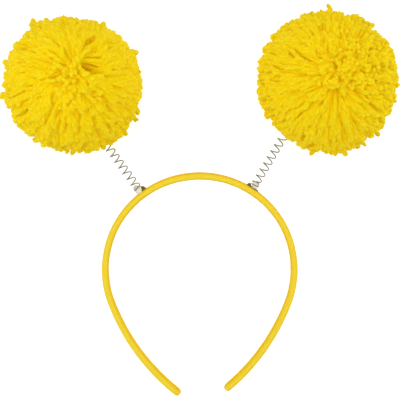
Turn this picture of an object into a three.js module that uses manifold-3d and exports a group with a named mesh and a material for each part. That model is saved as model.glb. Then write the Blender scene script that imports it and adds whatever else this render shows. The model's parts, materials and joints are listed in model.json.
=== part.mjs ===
// Head bopper: a covered hoop with two coil springs, each carrying a pompom of cut yarn.
// It lies on its back as laid out: X across the hoop, Y from its tips to its crown, +Z up.
// The hoop is drawn in its own plane, with the centre of the crown's arc at the origin,
// then leaned and set in place. Sizes are in mm.
import * as THREE from "three";
import { mergeVertices } from "three/addons/utils/BufferGeometryUtils.js";
import Module from "manifold-3d";

const wasm = await Module();
wasm.setup();

// Where the hoop lies: the pompoms hold its crown up, and the tips touch the floor.
const hoopCentre = new THREE.Vector3(-0.9, -43.7, 16.2);
const hoopLeanDeg = 7.5;
const fitGap = 0.3;

// Hoop: a strip of one section, bent round the crown and drawn in along the arms.
const stripWidth = 11;
const stripThick = 4.3;
const stripEdgeRadius = 1.8;
const stripLength = 394;          // from tip to tip
const crownRadius = 62.75;        // to the middle of the thickness
const crownHalfAngleDeg = 110;
const armRadius = 141;
const stripSlideLeft = 2.4;       // the strip's middle lies this far round to the left
const stripSteps = 53;
const tipThick = 4.7;             // the cover is folded in at the tips
const tipWidth = 11.4;

// Springs: right-handed coils, close wound at the foot, that stand on the hoop's outer face.
const footFromMiddle = 38.1;      // along the strip
const coilDiameter = 5.4;         // to the middle of the wire
const wireDiameter = 0.8;
const coilPitch = 4.7;
const footPitch = 1.05;
const footTurns = 0.75;
const footHeight = 2.75;          // the first turn clears the bead's base and the spot
const coilReach = 54;             // along the axis, up into the pompom
const coilStepsPerTurn = 9;

// Glue at each foot: a base on the hoop with a plug inside the coil, and a spot beside it, which
// is on the crown's side.
const beadBaseRadius = 2.1;
const beadBaseHeight = 1.2;
const beadOffset = 0.6;           // along the strip, away from the spot
const plugRadius = 1.4;
const plugHeight = 6;
const spotRadius = 1.2;
const spotHeight = 2;

// Pompoms: a core with locks of yarn fused to it, lengths as shares of the pompom's radius.
const lockCount = 90;
const lockSides = 5;
const lockRoot = 0.68;
const coreShare = 0.86;
const coreDetail = 1;
const lockShoulder = 0.94;
const lockTip = 1.035;
const lockTipSpread = 0.03;
const lockStray = 0.06;
const lockRootHalf = 5.4;
const lockShoulderHalf = 6.8;
const socketRadius = 3.7;

// What differs from side to side. Leans are from +Y towards +X, seen from above, and rises are
// from the floor. The pompoms' X and Y are from the centre of the crown's arc, Z from the floor.
const sides = [
  { name: "left", hand: -1, springLeanDeg: -35.1, springRiseDeg: 14.6, coilStart: 0.15,
    pompomX: -82.3, pompomY: 121.2, pompomZ: 43, pompomRadius: 45, seed: 11 },
  { name: "right", hand: 1, springLeanDeg: 30.3, springRiseDeg: 14, coilStart: 0.85,
    pompomX: 82.5, pompomY: 124.2, pompomZ: 43.8, pompomRadius: 46.2, seed: 29 },
];

const coverYellow = new THREE.MeshStandardMaterial({ color: 0xf2c818, roughness: 0.75, metalness: 0 });
const springSteel = new THREE.MeshStandardMaterial({ color: 0xb9bab4, roughness: 0.25, metalness: 1 });
const glueMilky = new THREE.MeshStandardMaterial({ color: 0xd9d8cc, roughness: 0.35, metalness: 0 });
const glueBrown = new THREE.MeshStandardMaterial({ color: 0x6b5218, roughness: 0.4, metalness: 0 });
const yarnYellow = new THREE.MeshStandardMaterial({ color: 0xf0cf14, roughness: 0.95, metalness: 0 });

const radians = THREE.MathUtils.degToRad;
const hoopLean = radians(hoopLeanDeg);
const crownHalfAngle = radians(crownHalfAngleDeg);
const upright = new THREE.Vector3(0, 1, 0);

// A solid for joining and cutting, from a closed geometry.
function solidOf(geometry) {
  const bare = geometry.clone();
  bare.deleteAttribute("normal");
  bare.deleteAttribute("uv");
  const welded = mergeVertices(bare, 1e-4);
  const corners = welded.index.array;
  const kept = [];
  for (let i = 0; i < corners.length; i += 3) {
    const [a, b, c] = corners.slice(i, i + 3);
    if (a !== b && b !== c && c !== a) {
      kept.push(a, b, c);
    }
  }
  return new wasm.Manifold(new wasm.Mesh({
    numProp: 3,
    vertProperties: new Float32Array(welded.attributes.position.array),
    triVerts: new Uint32Array(kept),
  }));
}

function geometryOf(solid) {
  const mesh = solid.getMesh();
  const geometry = new THREE.BufferGeometry();
  geometry.setAttribute("position", new THREE.BufferAttribute(mesh.vertProperties, 3));
  geometry.setIndex(new THREE.BufferAttribute(mesh.triVerts, 1));
  geometry.computeVertexNormals();
  return geometry;
}

// Turns a geometry drawn up the Y axis along a direction and moves its foot to a point.
function stand(geometry, foot, direction, spin = 0) {
  const turn = new THREE.Quaternion().setFromUnitVectors(upright, direction);
  turn.multiply(new THREE.Quaternion().setFromAxisAngle(upright, spin));
  geometry.applyQuaternion(turn);
  geometry.translate(foot.x, foot.y, foot.z);
  return geometry;
}

function lathe(profile, segments) {
  return new THREE.LatheGeometry(profile.map(([r, y]) => new THREE.Vector2(r, y)), segments);
}

// From the hoop's own plane to where the hoop lies.
function lieDown(point) {
  return point.clone().applyAxisAngle(new THREE.Vector3(1, 0, 0), hoopLean).add(hoopCentre);
}

function lieDirection(direction) {
  return direction.clone().applyAxisAngle(new THREE.Vector3(1, 0, 0), hoopLean);
}

// The middle line of the strip, by the length from the top of the crown's arc, left negative.
class StripLine extends THREE.Curve {
  angleAt(length) {
    const run = Math.abs(length);
    const crownRun = crownRadius * crownHalfAngle;
    const angle = run <= crownRun
      ? run / crownRadius
      : crownHalfAngle + (run - crownRun) / armRadius;
    return Math.sign(length) * angle;
  }

  outwardAt(length) {
    const angle = this.angleAt(length);
    return new THREE.Vector3(Math.sin(angle), Math.cos(angle), 0);
  }

  pointAt(length) {
    const outward = this.outwardAt(length);
    if (Math.abs(length) <= crownRadius * crownHalfAngle) {
      return outward.multiplyScalar(crownRadius);
    }
    const joint = Math.sign(length) * crownHalfAngle;
    const inset = new THREE.Vector3(Math.sin(joint), Math.cos(joint), 0);
    return outward.multiplyScalar(armRadius).addScaledVector(inset, crownRadius - armRadius);
  }

  getPoint(t) {
    return this.pointAt((t - 0.5) * (stripLength - tipWidth) - stripSlideLeft);
  }
}

class CoilLine extends THREE.Curve {
  constructor(startTurn) {
    super();
    this.startTurn = startTurn;
    this.turns = footTurns + (coilReach - footHeight - footPitch * footTurns) / coilPitch;
    this.arcLengthDivisions = 600;
  }

  getPoint(t) {
    const turn = t * this.turns;
    const angle = 2 * Math.PI * (turn + this.startTurn);
    const open = Math.max(turn - footTurns, 0);
    const height = footHeight + footPitch * Math.min(turn, footTurns) + coilPitch * open;
    const radius = coilDiameter / 2;
    return new THREE.Vector3(radius * Math.sin(angle), height, radius * Math.cos(angle));
  }
}

function roundedSection(width, thick, radius) {
  const shape = new THREE.Shape();
  const x = width / 2 - radius;
  const y = thick / 2 - radius;
  shape.absarc(x, y, radius, 0, Math.PI / 2);
  shape.absarc(-x, y, radius, Math.PI / 2, Math.PI);
  shape.absarc(-x, -y, radius, Math.PI, Math.PI * 1.5);
  shape.absarc(x, -y, radius, Math.PI * 1.5, Math.PI * 2);
  return shape;
}

// A round lozenge closes each end of the strip.
function tipLozenge(line, length) {
  const half = tipThick / 2;
  const rim = tipWidth / 2;
  const profile = [
    [0, -half], [rim - 1.6, -half], [rim - 0.5, -half * 0.72], [rim, 0],
    [rim - 0.5, half * 0.72], [rim - 1.6, half], [0, half],
  ];
  return stand(lathe(profile, 12), line.pointAt(length), line.outwardAt(length));
}

function headbandGeometry(line) {
  const strip = new THREE.ExtrudeGeometry(
    roundedSection(stripWidth, stripThick, stripEdgeRadius),
    { extrudePath: line, steps: stripSteps, curveSegments: 1 },
  );
  const run = (stripLength - tipWidth) / 2;
  const joined = solidOf(strip)
    .add(solidOf(tipLozenge(line, -run - stripSlideLeft)))
    .add(solidOf(tipLozenge(line, run - stripSlideLeft)));
  const geometry = geometryOf(joined);
  geometry.rotateX(hoopLean);
  geometry.translate(hoopCentre.x, hoopCentre.y, hoopCentre.z);
  return geometry;
}

// Where a spring stands on the hoop: the length there, the foot on the outer face and the axis.
function footOf(line, side) {
  const length = side.hand * footFromMiddle - stripSlideLeft;
  const outward = line.outwardAt(length);
  const face = line.pointAt(length).addScaledVector(outward, stripThick / 2);
  const lean = radians(side.springLeanDeg);
  const rise = radians(side.springRiseDeg);
  const axis = new THREE.Vector3(
    Math.sin(lean) * Math.cos(rise),
    Math.cos(lean) * Math.cos(rise),
    Math.sin(rise),
  );
  return { length, point: lieDown(face), axis };
}

function springGeometry(foot, side) {
  const wire = new THREE.Shape();
  wire.absarc(0, 0, wireDiameter / 2, 0, Math.PI * 2);
  const coil = new CoilLine(side.coilStart);
  const steps = Math.round(coil.turns * coilStepsPerTurn);
  const geometry = new THREE.ExtrudeGeometry(wire, { extrudePath: coil, steps, curveSegments: 3 });
  return stand(geometry, foot.point, foot.axis);
}

function glueBeadGeometry(line, foot, side) {
  const length = foot.length + side.hand * beadOffset;
  const outward = line.outwardAt(length);
  const face = lieDown(line.pointAt(length).addScaledVector(outward, stripThick / 2));
  const base = lathe([
    [0, fitGap], [beadBaseRadius, fitGap], [beadBaseRadius - 0.2, fitGap + 0.5],
    [beadBaseRadius - 1, beadBaseHeight], [0, beadBaseHeight],
  ], 10);
  const plug = lathe([
    [0, 0.8], [plugRadius, 0.8], [plugRadius, plugHeight - 1],
    [plugRadius * 0.6, plugHeight - 0.2], [0, plugHeight],
  ], 8);
  const joined = solidOf(stand(base, face, lieDirection(outward)))
    .add(solidOf(stand(plug, face, foot.axis)));
  return geometryOf(joined);
}

function glueSpotGeometry(line, foot, side) {
  const step = beadBaseRadius - beadOffset + fitGap + spotRadius;
  const length = foot.length - side.hand * step;
  const outward = line.outwardAt(length);
  const face = line.pointAt(length).addScaledVector(outward, stripThick / 2);
  const profile = [
    [0, fitGap], [spotRadius, fitGap], [spotRadius * 0.9, spotHeight * 0.55],
    [spotRadius * 0.5, spotHeight * 0.9], [0, spotHeight],
  ];
  return stand(lathe(profile, 8), lieDown(face), lieDirection(outward));
}

// The same row of numbers between 0 and 1 for a seed, every time.
function numbersFrom(seed) {
  let state = seed;
  return () => {
    state = (state * 1664525 + 1013904223) % 4294967296;
    return state / 4294967296;
  };
}

function pompomGeometry(foot, side) {
  const next = numbersFrom(side.seed);
  const radius = side.pompomRadius;
  const middle = new THREE.Vector3(side.pompomX, side.pompomY, 0).add(hoopCentre);
  middle.z = side.pompomZ;
  let ball = solidOf(new THREE.IcosahedronGeometry(radius * coreShare, coreDetail)
    .translate(middle.x, middle.y, middle.z));
  const goldenTurn = Math.PI * (3 - Math.sqrt(5));
  for (let i = 0; i < lockCount; i += 1) {
    const level = 1 - (2 * (i + 0.5)) / lockCount;
    const around = i * goldenTurn;
    const ring = Math.sqrt(1 - level * level);
    const direction = new THREE.Vector3(ring * Math.cos(around), ring * Math.sin(around), level);
    const stray = new THREE.Vector3(next() - 0.5, next() - 0.5, next() - 0.5);
    direction.addScaledVector(stray, lockStray).normalize();
    const tip = lockTip + lockTipSpread * (2 * next() - 1);
    const profile = [
      [0, radius * lockRoot], [lockRootHalf, radius * lockRoot],
      [lockShoulderHalf, radius * lockShoulder], [0, radius * tip],
    ];
    const lock = stand(lathe(profile, lockSides), middle, direction, next() * Math.PI * 2);
    ball = ball.add(solidOf(lock));
  }
  const socketDepth = coilReach + 1;
  const socket = new THREE.CylinderGeometry(socketRadius, socketRadius, socketDepth, 12)
    .translate(0, socketDepth / 2, 0);
  const below = new THREE.BoxGeometry(radius * 3, radius * 3, radius)
    .translate(middle.x, middle.y, -radius / 2);
  return geometryOf(ball.subtract(solidOf(stand(socket, foot.point, foot.axis)))
    .subtract(solidOf(below)));
}

const group = new THREE.Group();
function addPiece(name, geometry, material) {
  const mesh = new THREE.Mesh(geometry, material);
  mesh.name = name;
  group.add(mesh);
}

const line = new StripLine();
addPiece("headband", headbandGeometry(line), coverYellow);
for (const side of sides) {
  const foot = footOf(line, side);
  addPiece(`${side.name}_spring`, springGeometry(foot, side), springSteel);
  addPiece(`${side.name}_glue_bead`, glueBeadGeometry(line, foot, side), glueMilky);
  addPiece(`${side.name}_glue_spot`, glueSpotGeometry(line, foot, side), glueBrown);
  addPiece(`${side.name}_pompom`, pompomGeometry(foot, side), yarnYellow);
}

export default group;
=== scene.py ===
import json
import math

import bmesh
import bpy
from mathutils import Matrix, Vector, noise

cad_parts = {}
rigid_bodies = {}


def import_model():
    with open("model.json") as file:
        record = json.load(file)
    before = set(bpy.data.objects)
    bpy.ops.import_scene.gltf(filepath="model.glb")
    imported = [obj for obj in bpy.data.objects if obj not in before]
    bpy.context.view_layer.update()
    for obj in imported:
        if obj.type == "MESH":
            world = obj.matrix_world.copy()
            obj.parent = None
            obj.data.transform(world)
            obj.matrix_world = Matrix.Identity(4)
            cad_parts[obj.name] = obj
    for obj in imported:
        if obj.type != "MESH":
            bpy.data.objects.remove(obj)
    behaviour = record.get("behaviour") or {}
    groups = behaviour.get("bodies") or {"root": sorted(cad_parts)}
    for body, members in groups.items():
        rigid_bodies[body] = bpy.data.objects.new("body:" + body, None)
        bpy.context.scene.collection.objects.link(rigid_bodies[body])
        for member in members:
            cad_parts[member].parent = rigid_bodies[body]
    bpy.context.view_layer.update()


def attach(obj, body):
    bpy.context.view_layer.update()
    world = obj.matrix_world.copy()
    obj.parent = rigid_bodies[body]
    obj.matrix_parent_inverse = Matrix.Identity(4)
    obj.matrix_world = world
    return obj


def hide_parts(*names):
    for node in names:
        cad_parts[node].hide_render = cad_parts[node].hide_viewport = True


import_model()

# Headband: a thin springy plastic strip, bent to a hoop that draws in along the arms, and wrapped in
# yellow fabric. The fabric is glued down, lapped along the middle of the inner face, and folded in
# round each tip, which makes the tips a touch wider than the rest.
mm = 0.001
strip_width = 11 * mm
strip_thick = 4.3 * mm
strip_length = 394 * mm
strip_slide_left = 2.4 * mm
left_end = -strip_length / 2 - strip_slide_left
right_end = strip_length / 2 - strip_slide_left
tip_width = 11.2 * mm
tip_run = 14 * mm
tip_nose = strip_thick * 0.62
tip_tuck = 0.5 * mm
tip_rings = 9
ring_spacing = 1.5 * mm
crown_radius = 62.75 * mm
crown_half_angle = math.radians(110)
arm_radius = 141 * mm
hoop_centre = Vector((-0.9, -43.7, 16.2)) * mm
hoop_lean = Matrix.Rotation(math.radians(7.5), 3, "X")
edge_round = 2.05 * mm
edge_steps = 10
outer_face_steps = 8
inner_face_shares = (0.45, 0.62, 0.8, 1)
lap_thick = 0.3 * mm
lap_edge = 1.1 * mm
lap_edge_thick = lap_thick * 0.85
lap_bevel = 0.25 * mm
lap_tuck = 0.15 * mm
lap_steps = 5
fold_depth = 0.07 * mm
swell_waves = Vector((90, 300, 160))
pucker_waves = Vector((420, 0, 60))
pucker_row = Vector((0, 4.7, 0))
lay_start = (0.3, 0.1)


def strip_at(run):
    """The strip's middle, this far from the crown's top: a point and the outward direction."""
    side = -1 if run < 0 else 1
    turned = abs(run) / crown_radius
    joint = Vector((side * math.sin(crown_half_angle), math.cos(crown_half_angle), 0))
    if turned > crown_half_angle:
        turned = crown_half_angle + (abs(run) - crown_radius * crown_half_angle) / arm_radius
        outward = Vector((side * math.sin(turned), math.cos(turned), 0))
        point = outward * arm_radius + joint * (crown_radius - arm_radius)
    else:
        outward = Vector((side * math.sin(turned), math.cos(turned), 0))
        point = outward * crown_radius
    return hoop_lean @ point + hoop_centre, hoop_lean @ outward


def cover_section():
    """The covered strip's section, outward and across: from under the lap's edge round to its top."""
    flat = strip_width / 2 - edge_round
    half = strip_thick / 2
    crown = half - edge_round
    section = [(-half, lap_edge + lap_tuck)]
    for share in inner_face_shares:
        section.append((-half + crown * share * share, flat * share))
    for step in range(1, edge_steps):
        turn = math.pi * step / edge_steps
        section.append((-edge_round * math.cos(turn), flat + edge_round * math.sin(turn)))
    for step in range(outer_face_steps + 1):
        share = 1 - 2 * step / outer_face_steps
        section.append((half - crown * share * share, flat * share))
    for step in range(1, edge_steps):
        turn = math.pi * step / edge_steps
        section.append((edge_round * math.cos(turn), -flat - edge_round * math.sin(turn)))
    for step in range(lap_steps + 1):
        share = -1 + step / lap_steps
        lifted = lap_thick * (1 + share)
        section.append((-half + crown * share * share - lifted, flat * share))
    section.append((-half - lap_thick, lap_edge - lap_bevel))
    section.append((-half - lap_edge_thick, lap_edge))
    return section


def ring_runs():
    """Where the rings of the cover lie: close together round the tips, evenly between them."""
    cap = tip_width / 2
    straight = strip_length - 2 * cap
    gaps = int(straight / ring_spacing)
    round_tip = [cap * (1 - math.cos(math.pi / 2 * step / tip_rings)) for step in range(1, tip_rings)]
    left_tip = [left_end + run for run in round_tip]
    evenly = [left_end + cap + straight * step / gaps for step in range(gaps + 1)]
    right_tip = [right_end - run for run in reversed(round_tip)]
    return left_tip + evenly + right_tip


def rounded_off(from_tip, reach):
    """The share of the full size that is left near a tip that rounds off over this reach."""
    return math.sqrt(1 - max(0, 1 - from_tip / reach) ** 2)


def fold_wave(run, out, across):
    """Small unevenness of the glued fabric: soft swells, and short puckers across the inner face."""
    place = Vector((run, out, across))
    inner = max(0, -out / strip_thick * 2)
    swell = noise.noise(place * swell_waves)
    pucker = noise.noise(place * pucker_waves + pucker_row)
    return (swell + pucker * inner) * fold_depth


cover_mesh = bmesh.new()
cover_lay = cover_mesh.loops.layers.uv.new("lay")
cover_taut_edge_light = cover_mesh.verts.layers.float.new("taut_edge_light")
section = cover_section()
walked = [0]
for point, next_point in zip(section, section[1:] + section[:1]):
    walked.append(walked[-1] + math.dist(point, next_point))
hoop_upward = hoop_lean @ Vector((0, 0, 1))
stations = []
for run in ring_runs():
    middle, outward = strip_at(run)
    from_tip = min(run - left_end, right_end - run)
    fuller_tip = max(0, 1 - from_tip / tip_run) ** 0.5
    wide = 1 + (tip_width / strip_width - 1) * fuller_tip
    wide *= rounded_off(from_tip, tip_width / 2)
    thick = rounded_off(from_tip, tip_nose)
    ring = []
    for out, across in section:
        lift = 1 + fold_wave(run, out, across) / edge_round
        place = middle + outward * (out * thick * lift) + hoop_upward * (across * wide)
        corner = cover_mesh.verts.new(place)
        # The cloth is taut round the rounded edges; this value also drives a painted highlight on the
        # edges and painted shade on the flat faces.
        corner[cover_taut_edge_light] = max(0, 1 - (strip_width / 2 - abs(across)) / edge_round)
        ring.append(corner)
    stations.append((run, ring))


def cover_face(corners, lays):
    """One smooth face of the cover, with the way along and around the strip for each corner."""
    face = cover_mesh.faces.new(corners)
    face.smooth = True
    for loop, (along, around) in zip(face.loops, lays):
        loop[cover_lay].uv = (along + lay_start[0], around + lay_start[1])


for (run, ring), (next_run, next_ring) in zip(stations, stations[1:]):
    for edge in range(len(section)):
        further = (edge + 1) % len(section)
        start = walked[edge]
        end = walked[edge + 1]
        cover_face(
            (ring[edge], ring[further], next_ring[further], next_ring[edge]),
            ((run, start), (run, end), (next_run, end), (next_run, start)),
        )
for (run, ring), tuck in ((stations[0], tip_tuck), (stations[-1], -tip_tuck)):
    dimple = cover_mesh.verts.new(strip_at(run + tuck)[0])
    for edge in range(len(section)):
        further = (edge + 1) % len(section)
        start = walked[edge]
        end = walked[edge + 1]
        cover_face((ring[edge], ring[further], dimple), ((run, start), (run, end), (run, start)))
bmesh.ops.recalc_face_normals(cover_mesh, faces=cover_mesh.faces)


def dress(node, sockets):
    """Sets a node's sockets to values, or links them to Signals."""
    for label, value in sockets.items():
        if isinstance(value, Signal):
            value.tree.links.new(value.socket, node.inputs[label])
        else:
            node.inputs[label].default_value = value


class Signal:
    """One output of a node, so that sums of outputs and numbers can be written as plain sums."""

    def __init__(self, tree, socket):
        self.tree = tree
        self.socket = socket

    def node(self, kind, settings=None, sockets=None, output=0):
        """Any node of the same tree: its settings come first, then its sockets' values or links."""
        made = self.tree.nodes.new(kind)
        for label, value in (settings or {}).items():
            setattr(made, label, value)
        dress(made, sockets or {})
        return Signal(self.tree, made.outputs[output])

    def is_vector(self):
        """Whether this carries a vector or a colour, and not one number."""
        return self.socket.type in ("VECTOR", "RGBA")

    def maths(self, operation, *others, first=None):
        """A Math node, or a Vector Math node where a vector or a colour takes part."""
        terms = [self, *others] if first is None else [first, self]
        vectors = False
        for term in terms:
            if isinstance(term, tuple) or (isinstance(term, Signal) and term.is_vector()):
                vectors = True
        sockets = {}
        for place, term in enumerate(terms):
            sockets[place] = (term,) * 3 if vectors and isinstance(term, (int, float)) else term
        kind = "ShaderNodeVectorMath" if vectors else "ShaderNodeMath"
        number = operation in ("LENGTH", "DOT_PRODUCT")
        return self.node(kind, {"operation": operation}, sockets, "Value" if number else 0)

    def __add__(self, other):
        return self.maths("ADD", other)

    def __radd__(self, other):
        return self.maths("ADD", first=other)

    def __sub__(self, other):
        return self.maths("SUBTRACT", other)

    def __rsub__(self, other):
        return self.maths("SUBTRACT", first=other)

    def __mul__(self, other):
        return self.maths("MULTIPLY", other)

    def __rmul__(self, other):
        return self.maths("MULTIPLY", first=other)

    def __truediv__(self, other):
        return self.maths("DIVIDE", other)

    def __pow__(self, other):
        return self.maths("POWER", other)

    def part(self, axis):
        """One of the three numbers of a vector."""
        return self.node("ShaderNodeSeparateXYZ", {}, {0: self}, axis)

    def attribute(self, label, output="Fac"):
        """What the mesh keeps under this name."""
        return self.node("ShaderNodeAttribute", {"attribute_name": label}, {}, output)

    def mottle(self, size, detail=3):
        """Soft random patches of about this size, from 0 to 1, over the coordinates."""
        settings = {"noise_dimensions": "3D"}
        sockets = {"Vector": self, "Scale": 1 / size, "Detail": detail, "Roughness": 0.6}
        return self.node("ShaderNodeTexNoise", settings, sockets)

    def between(self, low, high):
        """A colour from low to high as this goes from 0 to 1, where high may vary too."""
        settings = {"data_type": "RGBA", "clamp_factor": True}
        # The sockets go by place, because the node repeats their names for every kind of value.
        factor, low_colour, high_colour, mixed = 0, 6, 7, 2
        top = high if isinstance(high, Signal) else (*high, 1)
        sockets = {factor: self, low_colour: (*low, 1), high_colour: top}
        return self.node("ShaderNodeMix", settings, sockets, mixed)

    def relief(self, depth, strength):
        """A bumped normal from this height, which goes from 0 to 1 over the depth."""
        sockets = {"Height": self, "Distance": depth, "Strength": strength}
        return self.node("ShaderNodeBump", {}, sockets)


def new_finish(name):
    """A material, its shader, and the Object coordinates that its pattern starts from."""
    finish = bpy.data.materials.new(name)
    finish.use_nodes = True
    nodes = finish.node_tree.nodes
    coordinates = nodes.new("ShaderNodeTexCoord").outputs["Object"]
    return finish, nodes["Principled BSDF"], Signal(finish.node_tree, coordinates)


def place_mesh(name, mesh, finish):
    """A mesh piece at the origin with one finish."""
    data = bpy.data.meshes.new(name)
    mesh.to_mesh(data)
    mesh.free()
    data.materials.append(finish)
    piece = bpy.data.objects.new(name, data)
    bpy.context.scene.collection.objects.link(piece)
    return piece


thread_pitch = 0.6 * mm
slub_length = 2.2 * mm
slub_slimness = 6
patch_size = 16 * mm
weave_depth = 0.16 * mm
thread_gap_shade = (0.80, 0.52, 0.008)
slack_shaded_face_yellow = (0.88, 0.56, 0.006)
taut_lit_edge_yellow = (0.97, 0.72, 0.035)
pale_lit_edge_yellow = (1.0, 0.79, 0.06)
cover_cloth, cover_shader, cover_coords = new_finish("yellow_cover_cloth")
lay = cover_coords.node("ShaderNodeUVMap", {"uv_map": "lay"})
warp_wave = (lay.part("X") / thread_pitch * math.pi).maths("SINE")
weft_wave = (lay.part("Y") / thread_pitch * math.pi).maths("SINE")
over = (warp_wave * weft_wave).maths("SIGN") * 0.5 + 0.5
thread = weft_wave.maths("ABSOLUTE") * over + warp_wave.maths("ABSOLUTE") * (1 - over)
slub = (lay * (1, slub_slimness, 1)).mottle(slub_length)
patch = cover_coords.mottle(patch_size, 2)
# Painted highlight and painted shade: the cloth is paler where it is drawn taut round the strip's
# rounded edges and deeper on the flat faces, which also stands for light on the edges and shade on the
# faces.
drawn_taut_lit_edge = (patch * 0.6 + slub * 0.4).between(taut_lit_edge_yellow, pale_lit_edge_yellow)
cloth_colour = (cover_coords.attribute("taut_edge_light") * 1.5 - 0.4).between(slack_shaded_face_yellow, drawn_taut_lit_edge)
# Painted shade: the cloth is painted darker between the threads of the weave.
cloth_colour = (thread * 0.75 + 0.45).between(thread_gap_shade, cloth_colour)
dress(cover_shader, {
    "Base Color": cloth_colour,
    "Roughness": 0.62 + 0.2 * slub,
    "Specular IOR Level": 0.05,
    "Normal": (thread * 0.8 + slub * 0.4).relief(weave_depth, 0.9),
})
headband = place_mesh("headband_cover", cover_mesh, cover_cloth)
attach(headband, "root")
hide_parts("headband")

# Springs: spring-steel wire wound into a slim right-handed coil. Most of the first turn is close wound
# and set in the glue on the hoop's outer face, and the rest runs on open into the pompom.
wire_radius = 0.4 * mm
wire_sides = 10
wire_steps_a_turn = 30
coil_radius = 2.7 * mm
coil_reach = 54 * mm
close_turns = 0.75
close_start = 2.75 * mm
close_pitch = 1.05 * mm
open_start = close_start + close_turns * close_pitch
open_pitch = 4.7 * mm
coil_turns = close_turns + (coil_reach - open_start) / open_pitch
foot_from_middle = 38.1 * mm
springs = {
    "left": {"hand": -1, "lean": math.radians(-35.1), "rise": math.radians(14.6), "start": 0.15},
    "right": {"hand": 1, "lean": math.radians(30.3), "rise": math.radians(14), "start": 0.85},
}


def on_outer_face(run):
    """A point on the hoop's outer face, the outward direction and the way along the strip there."""
    middle, outward = strip_at(run)
    return middle + outward * (strip_thick / 2), outward, Vector((0, 0, 1)).cross(outward).normalized()


def start_tree(name, inputs):
    """A geometry tree with these named inputs, and each input as a Signal."""
    tree = bpy.data.node_groups.new(name, "GeometryNodeTree")
    tree.interface.new_socket("Geometry", in_out="OUTPUT", socket_type="NodeSocketGeometry")
    for label, kind in inputs.items():
        tree.interface.new_socket(label, in_out="INPUT", socket_type="NodeSocket" + kind)
    entry = tree.nodes.new("NodeGroupInput")
    return tree, {label: Signal(tree, entry.outputs[label]) for label in inputs}


def end_tree(geometry, finish):
    """Closes a geometry tree: real geometry, smooth, with its finish."""
    real = geometry.node("GeometryNodeRealizeInstances", {}, {"Geometry": geometry})
    smooth = real.node("GeometryNodeSetShadeSmooth", {}, {0: real, "Shade Smooth": True})
    dressed = smooth.node("GeometryNodeSetMaterial", {}, {"Geometry": smooth, "Material": finish})
    way_out = geometry.tree.nodes.new("NodeGroupOutput")
    dress(way_out, {"Geometry": dressed})


def grown(name, tree, values):
    """A plain mesh piece that a geometry tree makes from these input values."""
    piece = bpy.data.objects.new(name, bpy.data.meshes.new(name))
    bpy.context.scene.collection.objects.link(piece)
    growth = piece.modifiers.new("growth", "NODES")
    growth.node_group = tree
    for socket in tree.interface.items_tree:
        if socket.in_out == "INPUT":
            growth[socket.identifier] = values[socket.name]
    graph = bpy.context.evaluated_depsgraph_get()
    made = bpy.data.meshes.new_from_object(
        piece.evaluated_get(graph), preserve_all_data_layers=True, depsgraph=graph)
    piece.modifiers.remove(growth)
    empty = piece.data
    piece.data = made
    bpy.data.meshes.remove(empty)
    made.name = name
    return piece


wire_tree, wire = start_tree("wound_wire", {
    "Foot": "Vector", "Side": "Vector", "Axis": "Vector", "Front": "Vector", "Coil Radius": "Float",
    "Close Turns": "Float", "Close Start": "Float", "Close Pitch": "Float", "Open Pitch": "Float",
    "Turns": "Float", "Start Turn": "Float", "Steps": "Int", "Wire Radius": "Float", "Wire": "Material",
})
straight_wire = wire["Foot"].node("GeometryNodeCurvePrimitiveLine")
stepped_wire = straight_wire.node("GeometryNodeResampleCurve", {}, {
    "Curve": straight_wire, "Count": wire["Steps"],
})
wound_turn = stepped_wire.node("GeometryNodeSplineParameter") * wire["Turns"]
close_part = wound_turn.maths("MINIMUM", wire["Close Turns"])
open_part = wound_turn - close_part
height = wire["Close Start"] + close_part * wire["Close Pitch"] + open_part * wire["Open Pitch"]
angle = (wound_turn + wire["Start Turn"]) * math.tau
sideways = wire["Side"] * (angle.maths("SINE") * wire["Coil Radius"])
forwards = wire["Front"] * (angle.maths("COSINE") * wire["Coil Radius"])
winding = wire["Foot"] + wire["Axis"] * height + sideways + forwards
coil = stepped_wire.node("GeometryNodeSetPosition", {}, {"Geometry": stepped_wire, "Position": winding})
round_wire = coil.node("GeometryNodeCurvePrimitiveCircle", {}, {
    "Resolution": wire_sides, "Radius": wire["Wire Radius"],
})
drawn_wire = coil.node("GeometryNodeCurveToMesh", {}, {
    "Curve": coil, "Profile Curve": round_wire, "Fill Caps": True,
})
end_tree(drawn_wire, wire["Wire"])

drawn_mark_size = 1.1 * mm
drawn_mark_depth = 0.01 * mm
steel_tone_size = 5 * mm
steel_dark = (0.19, 0.22, 0.21)
steel_bright = (0.34, 0.375, 0.365)
spring_steel, steel_shader, steel_coords = new_finish("spring_steel")
drawn_marks = steel_coords.mottle(drawn_mark_size, 4)
dress(steel_shader, {
    "Base Color": steel_coords.mottle(steel_tone_size, 2).between(steel_dark, steel_bright),
    "Metallic": 1.0,
    "Roughness": 0.2 + 0.16 * drawn_marks,
    "Normal": drawn_marks.relief(drawn_mark_depth, 0.3),
})
for side, spring in springs.items():
    spring["run"] = spring["hand"] * foot_from_middle - strip_slide_left
    spring["foot"] = on_outer_face(spring["run"])[0]
    level_reach = math.cos(spring["rise"])
    spring["axis"] = Vector((
        math.sin(spring["lean"]) * level_reach,
        math.cos(spring["lean"]) * level_reach,
        math.sin(spring["rise"]),
    ))
    stand = Vector((0, 1, 0)).rotation_difference(spring["axis"])
    coil_piece = grown(side + "_wound_spring", wire_tree, {
        "Foot": spring["foot"],
        "Side": stand @ Vector((1, 0, 0)),
        "Axis": spring["axis"],
        "Front": stand @ Vector((0, 0, 1)),
        "Coil Radius": coil_radius,
        "Close Turns": close_turns,
        "Close Start": close_start,
        "Close Pitch": close_pitch,
        "Open Pitch": open_pitch,
        "Turns": coil_turns,
        "Start Turn": spring["start"],
        "Steps": round(coil_turns * wire_steps_a_turn),
        "Wire Radius": wire_radius,
        "Wire": spring_steel,
    })
    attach(coil_piece, "root")
    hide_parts(side + "_spring")

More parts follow.
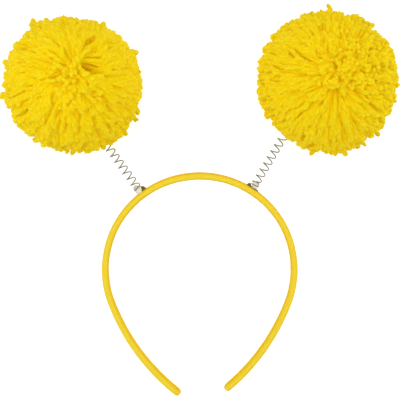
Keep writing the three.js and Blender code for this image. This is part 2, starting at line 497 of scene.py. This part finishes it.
# Milky glue: a bead of hot-melt glue inside each spring's foot. It spreads a little on the cover, fills
# the close turn and sets to a lumpy, cloudy plug with the wire showing round it.
bead_offset = 0.6 * mm
bead_tilt = 0.35
bead_wobble = 0.5 * mm
bead_seed = 3
lump_sides = 32
lump_cap_rise = 0.15
coarse_lumps = 420
coarse_part = 0.7
fine_lumps = 1100
fine_part = 0.3
# Each row of a lump's profile is its radius and its height over the hoop's face, in millimetres.
bead_profile = (
    (2.2, -0.5), (2.3, 0.1), (2.0, 0.7), (1.95, 1.4), (2.1, 2.1), (2.3, 2.8), (2.3, 3.5),
    (2.0, 4.2), (1.55, 4.9), (1.0, 5.5), (0.5, 5.9),
)


def pour(lump, foot, up, profile, strip_way, longer, wobble, seed):
    """A set lump of glue: rings up from the foot, longer along the strip, with an uneven skin."""
    beside = up.cross(strip_way).normalized()
    ahead = beside.cross(up).normalized()
    rings = []
    for radius, rise in profile:
        ring = []
        for step in range(lump_sides):
            turn = math.tau * step / lump_sides
            outwards = ahead * (math.cos(turn) * longer) + beside * math.sin(turn)
            even = foot + up * (rise * mm) + outwards * (radius * mm)
            uneven = noise.noise(even * coarse_lumps + Vector((seed, 0, 0))) * coarse_part
            uneven += noise.noise(even * fine_lumps + Vector((0, seed, 0))) * fine_part
            ring.append(lump.verts.new(even + outwards * (uneven * wobble)))
        rings.append(ring)
    for ring, following in zip(rings, rings[1:]):
        for step in range(lump_sides):
            further = (step + 1) % lump_sides
            lump.faces.new((ring[step], ring[further], following[further], following[step]))
    for ring, rise in ((rings[0], profile[0][1]), (rings[-1], profile[-1][1] + lump_cap_rise)):
        pole = lump.verts.new(foot + up * (rise * mm))
        for step in range(lump_sides):
            lump.faces.new((ring[step], ring[(step + 1) % lump_sides], pole))
    for face in lump.faces:
        face.smooth = True
    bmesh.ops.recalc_face_normals(lump, faces=lump.faces)


cloud_size = 1.6 * mm
cloud_ripple = 0.9 * mm
glue_ripple_depth = 0.15 * mm
cloudy = (0.70, 0.70, 0.60)
milky = (0.92, 0.92, 0.86)
milky_glue, milky_shader, milky_coords = new_finish("cloudy_hot_melt")
cloud = milky_coords.mottle(cloud_size, 4)
dress(milky_shader, {
    "Base Color": cloud.between(cloudy, milky),
    "Roughness": 0.18 + 0.22 * cloud,
    "Transmission Weight": 0.55,
    "IOR": 1.46,
    "Normal": milky_coords.mottle(cloud_ripple).relief(glue_ripple_depth, 0.5),
})
for side, spring in springs.items():
    foot, outward, strip_way = on_outer_face(spring["run"] + spring["hand"] * bead_offset)
    bead_up = spring["axis"].lerp(outward, bead_tilt).normalized()
    bead_mesh = bmesh.new()
    pour(bead_mesh, foot, bead_up, bead_profile, strip_way, 1, bead_wobble, bead_seed + spring["hand"])
    bead = place_mesh(side + "_milky_bead", bead_mesh, milky_glue)
    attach(bead, "root")
    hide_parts(side + "_glue_bead")

# Brown glue: a scorched drop beside each bead, on the crown side, that holds the wire's end. The left
# one stands up in a small peak. By the right one, a thin dark film of the same finish lies under the
# bead along the strip.
spot_step = 3 * mm
spot_wobble = 0.35 * mm
spot_seed = 17
spot_profiles = {
    "left": ((1.5, -0.5), (1.65, 0.2), (1.5, 0.9), (1.2, 1.6), (0.85, 2.2), (0.4, 2.6)),
    "right": ((1.6, -0.5), (1.7, 0.2), (1.45, 0.8), (1.1, 1.4), (0.7, 1.9), (0.3, 2.1)),
}
film_profile = ((1.9, -0.4), (2.0, 0.15), (1.7, 0.5), (1.0, 0.7), (0.3, 0.75))
film_longer = 2
film_wobble = 0.3 * mm
film_seed = 23
scorch_size = 1.2 * mm
scorch_ripple = 0.6 * mm
scorched_dark = (0.075, 0.055, 0.003)
scorched_amber = (0.24, 0.17, 0.025)
brown_glue, brown_shader, brown_coords = new_finish("scorched_glue")
scorch = brown_coords.mottle(scorch_size, 4)
dress(brown_shader, {
    "Base Color": scorch.between(scorched_dark, scorched_amber),
    "Roughness": 0.35 + 0.3 * scorch,
    "Specular IOR Level": 0.25,
    "Normal": brown_coords.mottle(scorch_ripple).relief(glue_ripple_depth, 0.5),
})
for side, spring in springs.items():
    drop = bmesh.new()
    foot, outward, strip_way = on_outer_face(spring["run"] - spring["hand"] * spot_step)
    pour(drop, foot, outward, spot_profiles[side], strip_way, 1, spot_wobble, spot_seed + spring["hand"])
    if side == "right":
        foot, outward, strip_way = on_outer_face(spring["run"] + bead_offset)
        pour(drop, foot, outward, film_profile, strip_way, film_longer, film_wobble, film_seed)
    spot = place_mesh(side + "_brown_drop", drop, brown_glue)
    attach(spot, "root")
    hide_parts(side + "_glue_spot")

# Pompoms: thick soft yarn, wound into a bundle, tied hard above the middle and sheared to a ball with
# blunt cut ends. Handling has combed the strands over, opened a crease in the left ball and small
# partings in both, and the floor presses the lowest strands flat.
cut_inside = 1.05
floor_gap = 0.2 * mm
spring_gap_open = 0.08
spring_gap_width = 0.1
fibres_a_strand = 7
fibre_radius = 0.07 * mm
# A parting opens along a line on the ball. A comb pushes strands away from its start, its own way or as
# far round as it says, and leaves those at its heart upright. A tuft is left longer by a share.
pompoms = {
    "left": {
        "centre": Vector((-83.2, 77.5, 43)) * mm,
        "radius": 45 * mm,
        "tie": Vector((4.2, 5.5, 15)) * mm,
        "strands": 1700,
        "strand_radius": 1.9 * mm,
        "fuller": Vector((0.71, -0.71, 0.1)),
        "fuller_by": 2.2 * mm,
        "flatter": Vector((0.26, 0.97, 0.1)),
        "flatter_by": 1.8 * mm,
        "seed": 11,
        "partings": (
            {"from": (0.36, 0.24, 0.90), "to": (0.33, 0.66, 0.68), "open": 0.11, "width": 0.14},
            {"from": (0.36, 0.24, 0.90), "to": (0.62, 0.52, 0.59), "open": 0.11, "width": 0.14},
            {"from": (-0.22, -0.26, 0.94), "to": (-0.34, -0.36, 0.87), "open": 0.03, "width": 0.08},
            {"from": (0.12, -0.25, 0.96), "to": (0.14, -0.50, 0.85), "open": 0.03, "width": 0.08},
        ),
        "combs": (
            {"from": (0.06, 0.05, 1), "way": (-0.3, 0.95, 0),
             "round": 0.85, "heart": 0.36, "push": 1.9, "width": 0.9},
            {"from": (0.36, 0.25, 0.90), "way": (0.6, 0.8, 0),
             "round": 0.25, "heart": 0.03, "push": 1.5, "width": 0.42},
        ),
        "tufts": (
            {"toward": (-0.511, 0.859, 0.05), "by": 0.16},
            {"toward": (-0.985, -0.156, 0.05), "by": 0.1},
            {"toward": (0.90, 0.435, 0.05), "by": 0.07},
        ),
    },
    "right": {
        "centre": Vector((81.6, 80.5, 43.8)) * mm,
        "radius": 46.2 * mm,
        "tie": Vector((1.6, 1, 15)) * mm,
        "strands": 2000,
        "strand_radius": 1.6 * mm,
        "fuller": Vector((0.26, -0.97, 0.1)),
        "fuller_by": 3 * mm,
        "flatter": Vector((0, 1, 0.1)),
        "flatter_by": 1.8 * mm,
        "seed": 29,
        "partings": (
            {"from": (-0.01, 0.32, 0.95), "to": (0, 0.46, 0.89), "open": 0.015, "width": 0.08},
            {"from": (-0.34, 0.19, 0.92), "to": (-0.46, 0.26, 0.85), "open": 0.025, "width": 0.09},
            {"from": (0.30, -0.52, 0.80), "to": (0.34, -0.62, 0.71), "open": 0.02, "width": 0.08},
            {"from": (-0.16, -0.44, 0.88), "to": (-0.16, -0.66, 0.73), "open": 0.02, "width": 0.08},
        ),
        "combs": (
            {"from": (0.02, -0.02, 1), "way": (-0.9, -0.4, 0),
             "round": 0.5, "heart": 0.36, "push": 1.7, "width": 0.8},
            {"from": (-0.02, -0.15, 0.99), "way": (-0.1, -1, 0),
             "round": 0, "heart": 0.2, "push": 0.8, "width": 0.7},
        ),
        "tufts": (
            {"toward": (0, 1, 0.05), "by": 0.09},
            {"toward": (-0.284, -0.959, 0.05), "by": 0.10},
            {"toward": (-0.851, -0.525, 0.05), "by": 0.06},
        ),
    },
}
parting_labels = ("Spring Gap", "Parting A", "Parting B", "Parting C", "Parting D")
comb_labels = ("Comb A", "Comb B")
tuft_labels = ("Tuft A", "Tuft B", "Tuft C")
yarn_inputs = {
    "Strands": "Int", "Ball Centre": "Vector", "Tie Offset": "Vector", "Ball Radius": "Float",
    "Strand Radius": "Float", "Fuller Side": "Vector", "Fuller By": "Float", "Flatter Side": "Vector",
    "Flatter By": "Float", "Floor": "Float", "Seed": "Int", "Yarn": "Material", "Loose Fibres": "Bool",
    "Fibres A Strand": "Int", "Fibre Radius": "Float",
}
for labels, directions, numbers in (
        (parting_labels, ("From", "To"), ("Open", "Width")),
        (comb_labels, ("From", "Way"), ("Round", "Heart", "Push", "Width")),
        (tuft_labels, ("Toward",), ("By",))):
    for label in labels:
        yarn_inputs |= {f"{label} {direction}": "Vector" for direction in directions}
        yarn_inputs |= {f"{label} {number}": "Float" for number in numbers}
yarn_tree, yarn = start_tree("cut_yarn_ball", yarn_inputs)
kept_kinds = {}


def combine(x, y, z):
    """A vector from three numbers, of which the first is a Signal."""
    return x.node("ShaderNodeCombineXYZ", {}, {"X": x, "Y": y, "Z": z})


def chance(low, high, draw):
    """A number, or a vector, between two limits: one numbered draw, anew for every strand or fibre."""
    vector = isinstance(low, tuple)
    settings = {"data_type": "FLOAT_VECTOR" if vector else "FLOAT"}
    first = 0 if vector else 2
    sockets = {first: low, first + 1: high, "Seed": yarn["Seed"] + draw}
    return yarn["Seed"].node("FunctionNodeRandomValue", settings, sockets, 0 if vector else 1)


def jitter(reach, draw):
    """A random vector with each of its numbers within this reach either way."""
    return chance((-reach,) * 3, (reach,) * 3, draw)


def fading(distance, width):
    """1 at no distance, fading smoothly to nothing over about this width."""
    return ((distance / width) ** 2 * -1).maths("EXPONENT")


def kept(geometry, label, value):
    """Keeps a value on the geometry under a name, and notes of what kind it is."""
    kept_kinds[label] = "FLOAT_VECTOR" if value.is_vector() else "FLOAT"
    settings = {"data_type": kept_kinds[label], "domain": "POINT"}
    sockets = {"Geometry": geometry, "Name": label, "Value": value}
    return geometry.node("GeometryNodeStoreNamedAttribute", settings, sockets)


def recalled(label):
    """The value that was kept under a name."""
    settings = {"data_type": kept_kinds[label]}
    return yarn["Seed"].node("GeometryNodeInputNamedAttribute", settings, {"Name": label})


# Where each strand leaves the tie, and where it ends.
golden_turn = 2.399963
aim_jitter = 0.16
drift_scale = 2.6
drift_reach = 0.3
stray_reach = 0.08
least_combed = 0.2
bulge_focus = 5
shortest_cut = -0.035
longest_cut = 0.018
missed_from = 0.93
missed_by = 0.7
short_from = 0.6
short_by = 0.3
tuft_width = 0.07
root_reach = 3 * mm
most_frayed = 0.35
slimmest = 0.88
fattest = 1.12
strand_points = 8
number = yarn["Seed"].node("GeometryNodeInputIndex")
axis_share = 1 - (number * 2 + 1) / yarn["Strands"]
ring_share = (1 - axis_share * axis_share).maths("SQRT")
swing = number * golden_turn
spread = combine(axis_share, ring_share * swing.maths("COSINE"), ring_share * swing.maths("SINE"))
aim = (spread + jitter(aim_jitter, 1)).maths("NORMALIZE")
tie_squared = yarn["Tie Offset"].maths("DOT_PRODUCT", yarn["Tie Offset"])
room_squared = yarn["Ball Radius"] * yarn["Ball Radius"] - tie_squared


def skin_from_tie(direction):
    """How far the ball's skin is from the tie in this direction."""
    lean = yarn["Tie Offset"].maths("DOT_PRODUCT", direction)
    return (lean * lean + room_squared).maths("SQRT") - lean


drift_noise = aim.node("ShaderNodeTexNoise", {"noise_dimensions": "4D"}, {
    "Vector": aim, "W": yarn["Seed"], "Scale": drift_scale, "Detail": 1.5,
}, "Color")
drift = (drift_noise - 0.5) * drift_reach
heading = (yarn["Tie Offset"] + aim * skin_from_tie(aim)).maths("NORMALIZE")
for label, combed in zip(comb_labels, (chance(least_combed, 1, 15), 1)):
    from_comb = heading - yarn[label + " From"]
    comb_distance = from_comb.maths("LENGTH")
    sector = from_comb.maths("NORMALIZE").maths("DOT_PRODUCT", yarn[label + " Way"])
    sector = (yarn[label + " Round"] + (1 - yarn[label + " Round"]) * sector).maths("MAXIMUM", 0)
    comb_push = sector * fading(comb_distance, yarn[label + " Width"]) * yarn[label + " Push"]
    comb_push = comb_push * (1 - fading(comb_distance, yarn[label + " Heart"])) * combed
    heading = (heading + from_comb * comb_push).maths("NORMALIZE")
heading = (heading + drift + jitter(stray_reach, 2)).maths("NORMALIZE")
fuller = heading.maths("DOT_PRODUCT", yarn["Fuller Side"]).maths("MAXIMUM", 0) ** bulge_focus
flatter = heading.maths("DOT_PRODUCT", yarn["Flatter Side"]).maths("MAXIMUM", 0) ** bulge_focus
sheared = yarn["Ball Radius"] + yarn["Fuller By"] * fuller - yarn["Flatter By"] * flatter
uneven_cut = chance(shortest_cut, longest_cut, 3)
missed = (chance(0, 1, 4) - missed_from).maths("MAXIMUM", 0) * missed_by
short = (chance(0, 1, 5) - short_from).maths("MAXIMUM", 0) * short_by
for label in tuft_labels:
    from_tuft = (heading - yarn[label + " Toward"]).maths("LENGTH")
    missed = missed + yarn[label + " By"] * fading(from_tuft, tuft_width)
tip = heading * (sheared * (1 + uneven_cut + missed - short)) - yarn["Tie Offset"]
tip_way = tip.maths("NORMALIZE")

bundle = yarn["Seed"].node("GeometryNodePoints", {}, {"Count": yarn["Strands"]})
for label, value in {
        "root_slip": jitter(root_reach, 6),
        "first_way": aim,
        "tip_way": tip_way,
        "tip_share": tip.maths("LENGTH") / skin_from_tie(tip_way),
        "heading": heading,
        "shade": chance(0, 1, 7),
        "fray": chance(0, 1, 10) ** 2 * most_frayed,
        "girth": chance(slimmest, fattest, 8),
        "ply_start": chance(0, math.tau, 9)}.items():
    bundle = kept(bundle, label, value)
strand = bundle.node("GeometryNodeCurvePrimitiveLine")
strand = strand.node("GeometryNodeResampleCurve", {}, {"Curve": strand, "Count": strand_points})
strands = bundle.node("GeometryNodeInstanceOnPoints", {}, {"Points": bundle, "Instance": strand})
strands = strands.node("GeometryNodeRealizeInstances", {}, {"Geometry": strands})

# Each strand rises from the tie to the ball's skin and turns along it to its tip, above the floor.
tip_crowding = 1.7
kink_waves = 3.2
kink_rows = (41, 67)
kink_reach = 1.9 * mm
root_girth = 0.74
tip_swell = 0.36
worn_from = 0.72
blunt_from = 0.955
blunt_left = 1.06
strand_sides = 6
crowded = 1 - (1 - strands.node("GeometryNodeSplineParameter")) ** tip_crowding
strands = kept(strands, "share", crowded)
share = recalled("share")
turned_share = share * share
strand_way = recalled("first_way") * (1 - turned_share) + recalled("tip_way") * turned_share
strand_way = strand_way.maths("NORMALIZE")
risen = (1 - (1 - share) ** 3) * recalled("tip_share")
bent = yarn["Ball Centre"] + yarn["Tie Offset"] + strand_way * (skin_from_tie(strand_way) * risen)
bent = bent + recalled("root_slip") * (1 - share)
from_middle = bent - yarn["Ball Centre"]
parted = from_middle.maths("NORMALIZE")
for label in parting_labels:
    line = yarn[label + " To"] - yarn[label + " From"]
    ahead = (parted - yarn[label + " From"]).maths("DOT_PRODUCT", line)
    ahead = (ahead / line.maths("DOT_PRODUCT", line)).maths("MAXIMUM", 0).maths("MINIMUM", 1)
    from_line = parted - (yarn[label + " From"] + line * ahead)
    opening = yarn[label + " Open"] * fading(from_line.maths("LENGTH"), yarn[label + " Width"])
    parted = (parted + from_line.maths("NORMALIZE") * opening).maths("NORMALIZE")
bent = yarn["Ball Centre"] + parted * from_middle.maths("LENGTH")
kink_seat = combine(
    share * kink_waves, recalled("ply_start") * kink_rows[0], recalled("shade") * kink_rows[1])
kinks = kink_seat.node("ShaderNodeTexNoise", {}, {
    "Vector": kink_seat, "Scale": 1.0, "Detail": 1.0,
}, "Color")
bent = bent + (kinks - 0.5) * (share * kink_reach)
strand_height = bent.part("Z").maths("MAXIMUM", yarn["Floor"] + yarn["Strand Radius"])
bent = combine(bent.part("X"), bent.part("Y"), strand_height)
strands = strands.node("GeometryNodeSetPosition", {}, {"Geometry": strands, "Position": bent})
strands = kept(strands, "along", strands.node("GeometryNodeSplineParameter", {}, {}, "Length"))
laid_from_middle = strands.node("GeometryNodeInputPosition") - yarn["Ball Centre"]
strands = kept(strands, "sunk", 1 - laid_from_middle.maths("LENGTH") / yarn["Ball Radius"])
strands = kept(strands, "outwards", laid_from_middle.maths("NORMALIZE"))
swell = (root_girth + tip_swell * share ** 3) * recalled("girth") * yarn["Strand Radius"]
worn = 1 - ((share - worn_from) / (1 - worn_from)).maths("MAXIMUM", 0) * recalled("fray")
blunt = ((share - blunt_from) / (1 - blunt_from)).maths("MAXIMUM", 0) ** 2
strand_profile = strands.node("GeometryNodeCurvePrimitiveCircle", {}, {
    "Resolution": strand_sides, "Radius": 1.0,
})
ply_turn = strand_profile.node("GeometryNodeSplineParameter") * math.tau
ply_side = combine(ply_turn.maths("COSINE"), ply_turn.maths("SINE"), 0)
strand_profile = kept(strand_profile, "ply", ply_side)
spun = strands.node("GeometryNodeCurveToMesh", {}, {
    "Curve": strands,
    "Profile Curve": strand_profile,
    "Scale": swell * worn * (blunt_left - blunt).maths("SQRT"),
    "Fill Caps": True,
})

# Loose fibres stand off the outer part of every strand, which makes the ball woolly.
fuzz_from = 0.62
fibre_follow = 0.7
fibre_shortest = 1.8 * mm
fibre_longest = 3.6 * mm
fibre_scatter = 1 * mm
fibre_curl = 1 * mm
fibre_points = 3
fibre_sides = 3
outer = strands.node("GeometryNodeTrimCurve", {"mode": "FACTOR"}, {"Curve": strands, "Start": fuzz_from})
seats = outer.node("GeometryNodeCurveToPoints", {}, {"Curve": outer, "Count": yarn["Fibres A Strand"]})
fibre_root = seats.node("GeometryNodeInputPosition") + jitter(fibre_scatter, 12)
fibre_way = (recalled("heading") * fibre_follow + jitter(1, 11)).maths("NORMALIZE")
seats = kept(seats, "fibre_root", fibre_root)
seats = kept(seats, "fibre_way", fibre_way * chance(fibre_shortest, fibre_longest, 13))
seats = kept(seats, "fibre_curl", jitter(fibre_curl, 14))
fibre_line = seats.node("GeometryNodeCurvePrimitiveLine")
fibre_line = fibre_line.node("GeometryNodeResampleCurve", {}, {
    "Curve": fibre_line, "Count": fibre_points,
})
fibres = seats.node("GeometryNodeInstanceOnPoints", {}, {"Points": seats, "Instance": fibre_line})
fibres = fibres.node("GeometryNodeRealizeInstances", {}, {"Geometry": fibres})
fibre_share = fibres.node("GeometryNodeSplineParameter")
fibre_place = recalled("fibre_root") + recalled("fibre_way") * fibre_share
fibre_place = fibre_place + recalled("fibre_curl") * (fibre_share * fibre_share)
fibre_height = fibre_place.part("Z").maths("MAXIMUM", yarn["Floor"])
fibre_place = combine(fibre_place.part("X"), fibre_place.part("Y"), fibre_height)
fibres = fibres.node("GeometryNodeSetPosition", {}, {"Geometry": fibres, "Position": fibre_place})
fibre_profile = fibres.node("GeometryNodeCurvePrimitiveCircle", {}, {
    "Resolution": fibre_sides, "Radius": 1.0,
})
fuzz_mesh = fibres.node("GeometryNodeCurveToMesh", {}, {
    "Curve": fibres, "Profile Curve": fibre_profile, "Scale": yarn["Fibre Radius"],
})
shown = spun.node("GeometryNodeSwitch", {"input_type": "GEOMETRY"}, {
    "Switch": yarn["Loose Fibres"], "False": spun, "True": fuzz_mesh,
})
end_tree(shown, yarn["Yarn"])

# The yarn's finish: plies and fibres that run round each strand, painted shade in the grooves between
# plies, a painted highlight that makes the cut ends paler, and painted shade that darkens the depths.
ply_pitch = 13 * mm
ply_count = 3
spun_radius = 1.7 * mm
streak_width = 0.32 * mm
streak_slimness = 0.14
streak_start = 0.05
ply_depth = 0.45 * mm
dye_size = 9 * mm
tip_highlight_share = 0.3
deepest = 0.34
depth_fade = 0.2
strand_dark = (0.895, 0.635, 0.002)
strand_light = (0.945, 0.715, 0.004)
tip_highlight_yellow = (0.95, 0.74, 0.012)
depth_shade = (0.72, 0.43, 0.001)
ply_shade = (0.84, 0.565, 0.001)
soft_yarn, yarn_shader, yarn_coords = new_finish("soft_yellow_yarn")
along_strand = yarn_coords.attribute("along")
ply_start = yarn_coords.attribute("ply_start")
ply = yarn_coords.attribute("ply", "Vector")
round_strand = ply.part("Y").maths("ARCTAN2", ply.part("X"))
twist = round_strand * ply_count + along_strand * (math.tau / ply_pitch * ply_count) + ply_start
ply_ridge = twist.maths("COSINE") * 0.5 + 0.5
lay_turn = round_strand + along_strand * (math.tau / ply_pitch)
lay_run = (along_strand + ply_start * streak_start) * streak_slimness
spun_lay = combine(lay_turn.maths("COSINE") * spun_radius, lay_turn.maths("SINE") * spun_radius, lay_run)
streak = spun_lay.mottle(streak_width, 2) * 2 - 0.5
dye = yarn_coords.mottle(dye_size, 2)
yarn_colour = (yarn_coords.attribute("shade") * 0.65 + dye * 0.35).between(strand_dark, strand_light)
# Painted highlight: the cut ends of the strands are painted paler.
from_tip_highlight = (1 - yarn_coords.attribute("share")) / tip_highlight_share
yarn_colour = from_tip_highlight.between(tip_highlight_yellow, yarn_colour)
from_depth = (deepest - yarn_coords.attribute("sunk")) / depth_fade
yarn_colour = from_depth.between(depth_shade, yarn_colour)
yarn_colour = (ply_ridge * 0.6 + streak * 0.5 + 0.3).between(ply_shade, yarn_colour)
bumped = (ply_ridge * 0.6 + streak * 0.4).relief(ply_depth, 0.7)
outwards = yarn_coords.attribute("outwards", "Vector")
dress(yarn_shader, {
    "Base Color": yarn_colour,
    "Roughness": 0.8 + 0.15 * streak,
    "Specular IOR Level": 0.04,
    "Sheen Weight": 0.03,
    "Sheen Roughness": 0.5,
    "Sheen Tint": (1, 0.93, 0.55, 1),
    "Normal": (bumped * 0.65 + outwards * 0.35).maths("NORMALIZE"),
})
for side, pompom in pompoms.items():
    values = {
        "Strands": pompom["strands"],
        "Ball Centre": pompom["centre"],
        "Tie Offset": pompom["tie"],
        "Ball Radius": pompom["radius"] - pompom["strand_radius"] * cut_inside,
        "Strand Radius": pompom["strand_radius"],
        "Fuller Side": pompom["fuller"].normalized(),
        "Fuller By": pompom["fuller_by"],
        "Flatter Side": pompom["flatter"].normalized(),
        "Flatter By": pompom["flatter_by"],
        "Floor": floor_gap,
        "Seed": pompom["seed"],
        "Yarn": soft_yarn,
        "Loose Fibres": False,
        "Fibres A Strand": fibres_a_strand,
        "Fibre Radius": fibre_radius,
    }
    spring_way = tuple(springs[side]["foot"] - pompom["centre"])
    spring_gap = {
        "from": spring_way, "to": spring_way, "open": spring_gap_open, "width": spring_gap_width,
    }
    for labels, rows in (
            (parting_labels, (spring_gap, *pompom["partings"])),
            (comb_labels, pompom["combs"]),
            (tuft_labels, pompom["tufts"])):
        for label, row in zip(labels, rows):
            for word, value in row.items():
                is_direction = isinstance(value, tuple)
                values[f"{label} {word.title()}"] = Vector(value).normalized() if is_direction else value
    ball = grown(side + "_yarn_ball", yarn_tree, values)
    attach(ball, "root")
    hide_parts(side + "_pompom")
    fuzz = grown(side + "_yarn_fuzz", yarn_tree, values | {"Loose Fibres": True})
    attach(fuzz, "root")

# Studio: a white table that glows a little in a white room, so that no shadow shows on it. A soft key
# light from the left lights the part alone, and fills that cast no shadow stand all round and above.
# The camera looks straight down.
scene = bpy.context.scene
table_half_width = 15
table_glow = 0.4
room_light = 0.4
room_seen = 0.76
lamp_target = Vector((0, 0.02, 0.04))
camera_place = (-0.00073, 0.00265, 1.0223)
camera_focal_length = 136.4
floor_mesh = bmesh.new()
bmesh.ops.create_grid(floor_mesh, x_segments=2, y_segments=2, size=table_half_width)
white_table, table_shader = new_finish("white_table")[:2]
dress(table_shader, {
    "Base Color": (0.85, 0.85, 0.85, 1),
    "Roughness": 0.9,
    "Emission Color": (1, 1, 1, 1),
    "Emission Strength": table_glow,
})
floor = place_mesh("table", floor_mesh, white_table)

sky = bpy.data.worlds.new("white_room")
sky.use_nodes = True
seen = Signal(sky.node_tree, sky.node_tree.nodes.new("ShaderNodeLightPath").outputs["Is Camera Ray"])
dress(sky.node_tree.nodes["Background"], {
    "Color": (1, 1, 1, 1),
    "Strength": room_light + (room_seen - room_light) * seen,
})
scene.world = sky

on_table = bpy.data.collections.new("on_table")
for piece in scene.collection.all_objects:
    if piece.type == "MESH" and piece is not floor:
        on_table.objects.link(piece)
for label, power, size, place, shadow in (
        ("soft_key", 2.3, 0.4, (-0.7, 0.1, 0.8), True),
        ("left_fill", 1.9, 0.8, (-1.0, -0.1, 0.6), False),
        ("right_fill", 4.8, 0.8, (1.0, 0.25, 0.6), False),
        ("near_fill", 1.9, 0.8, (0, -1.1, 0.6), False),
        ("far_fill", 1.5, 0.8, (-0.1, 1.1, 0.6), False),
        ("top_fill", 3.4, 0.8, (0, 0.1, 1.25), False)):
    panel = bpy.data.lights.new(label, "AREA")
    panel.shape = "SQUARE"
    panel.size = size
    panel.energy = power
    panel.use_shadow = shadow
    lamp = bpy.data.objects.new(label, panel)
    lamp.location = place
    lamp.rotation_euler = (lamp_target - lamp.location).to_track_quat("-Z", "Y").to_euler()
    scene.collection.objects.link(lamp)
    if shadow:
        lamp.light_linking.receiver_collection = on_table

lens = bpy.data.cameras.new("camera")
lens.sensor_width = 36
lens.lens = camera_focal_length
lens.clip_end = 20
camera = bpy.data.objects.new("camera", lens)
camera.location = camera_place
scene.collection.objects.link(camera)
scene.camera = camera
scene.view_settings.view_transform = "Standard"
